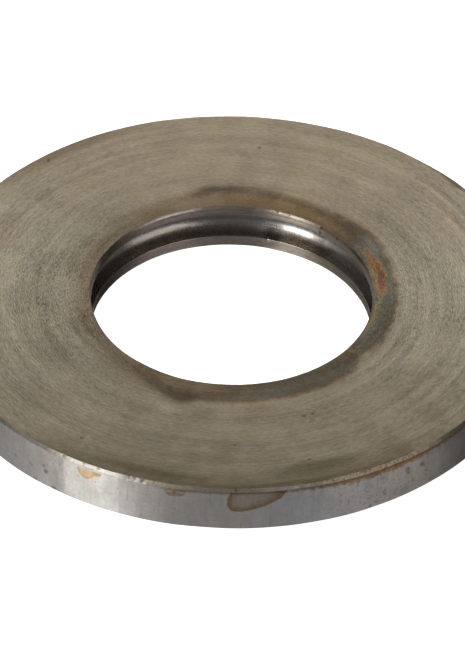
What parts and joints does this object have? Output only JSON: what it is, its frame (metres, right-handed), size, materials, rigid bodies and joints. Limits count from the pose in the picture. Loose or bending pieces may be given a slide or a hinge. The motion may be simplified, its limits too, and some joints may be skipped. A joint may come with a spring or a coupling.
{
  "type": "flat washer",
  "caption": "Thick flat steel washer with a wide bearing face, a plain rim and a full-radius groove running round the inside of its bore.",
  "frame": {"origin": "centre of the bottom face, on the bore axis", "axes": "+Z along the bore axis, from the bottom face towards the top face, which is the side nearer the groove; +X and +Y are any two square directions across the ring, because it is round"},
  "size_m": [0.108, 0.108, 0.0091],
  "materials": {
    "turned_steel": "turned and hand-dressed bare steel with an olive-grey film on the top face, straw, purple and blue heat tint round the bore, and light rust stains on the rim"
  },
  "bodies": {
    "root": {"washer_ring": "turned_steel"}
  },
  "joints": []
}
